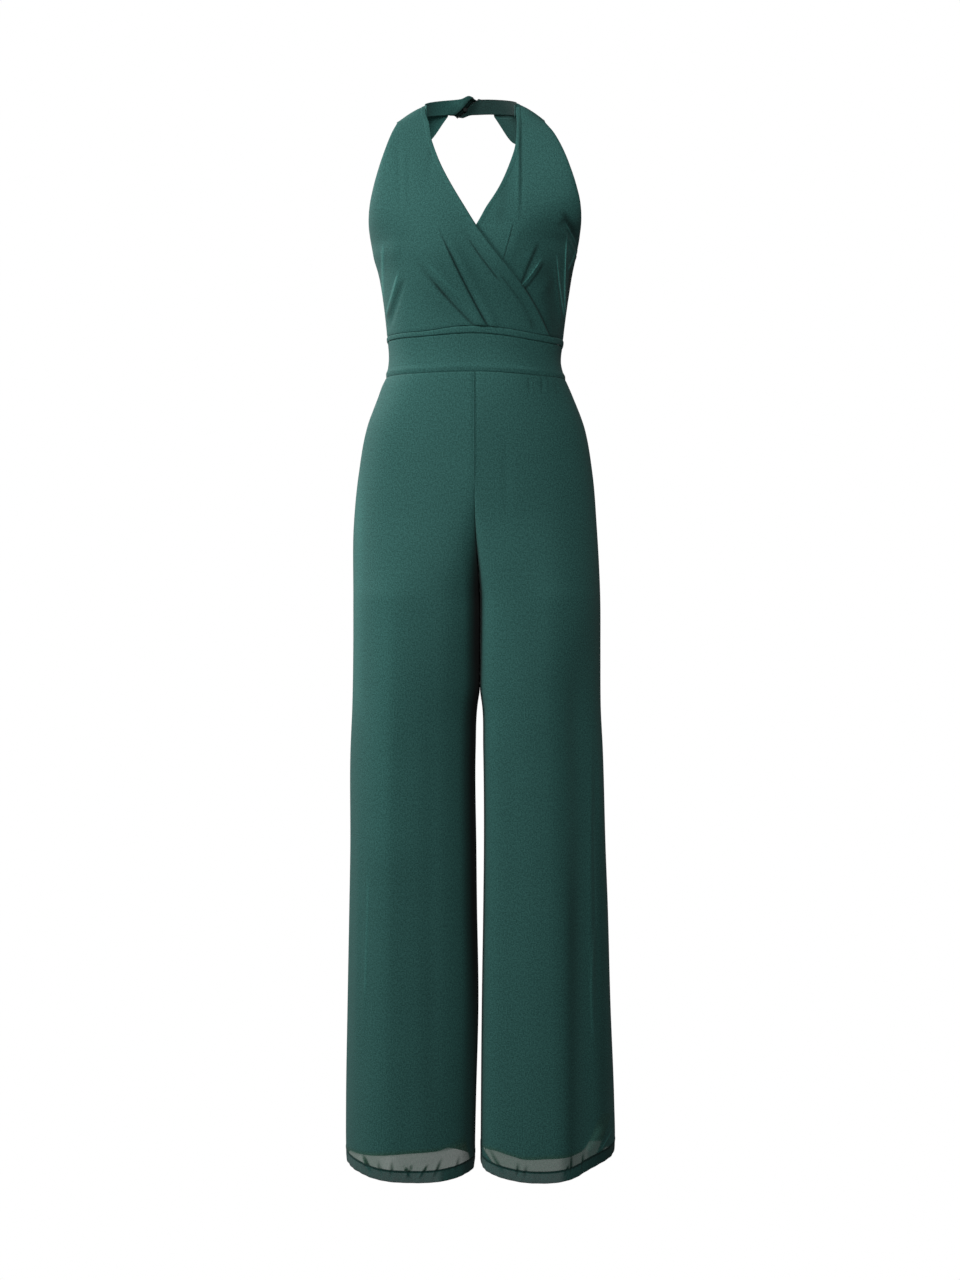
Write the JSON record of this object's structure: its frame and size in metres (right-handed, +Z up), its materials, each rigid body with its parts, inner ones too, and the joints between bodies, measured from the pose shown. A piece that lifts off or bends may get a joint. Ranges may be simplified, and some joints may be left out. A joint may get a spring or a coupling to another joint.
{
  "type": "halter jumpsuit",
  "caption": "Sleeveless halter jumpsuit with wrap V neck, banded waist and wide lined legs, filled out as worn and hollow",
  "frame": {"origin": "inner face of the neck strap at the nape, where the wearer's neck carries the garment", "axes": "+Z up along the body, the front faces -Y, the wearer's left is at +X"},
  "size_m": [0.3515, 0.2285, 1.4139],
  "materials": {
    "chiffon": "matt, faintly crinkled crepe chiffon",
    "doubled_chiffon": "the same chiffon doubled, with a pressed edge",
    "lining": "matt opaque lining",
    "button": "dyed to match the cloth"
  },
  "bodies": {
    "root": {"bodice_front_right": "chiffon", "bodice_front_left": "chiffon", "bodice_back_right": "chiffon", "bodice_back_left": "chiffon", "neck_strap_right": "doubled_chiffon", "neck_strap_left": "doubled_chiffon", "neck_button": "button", "waist_strip_front": "doubled_chiffon", "waist_strip_back_right": "doubled_chiffon", "waist_strip_back_left": "doubled_chiffon", "waistband_front": "doubled_chiffon", "waistband_back_right": "doubled_chiffon", "waistband_back_left": "doubled_chiffon", "leg_front_right": "chiffon", "leg_front_left": "chiffon", "leg_back_right": "chiffon", "leg_back_left": "chiffon", "hem_right": "doubled_chiffon", "hem_left": "doubled_chiffon", "lining_right": "lining", "lining_left": "lining"}
  },
  "joints": []
}
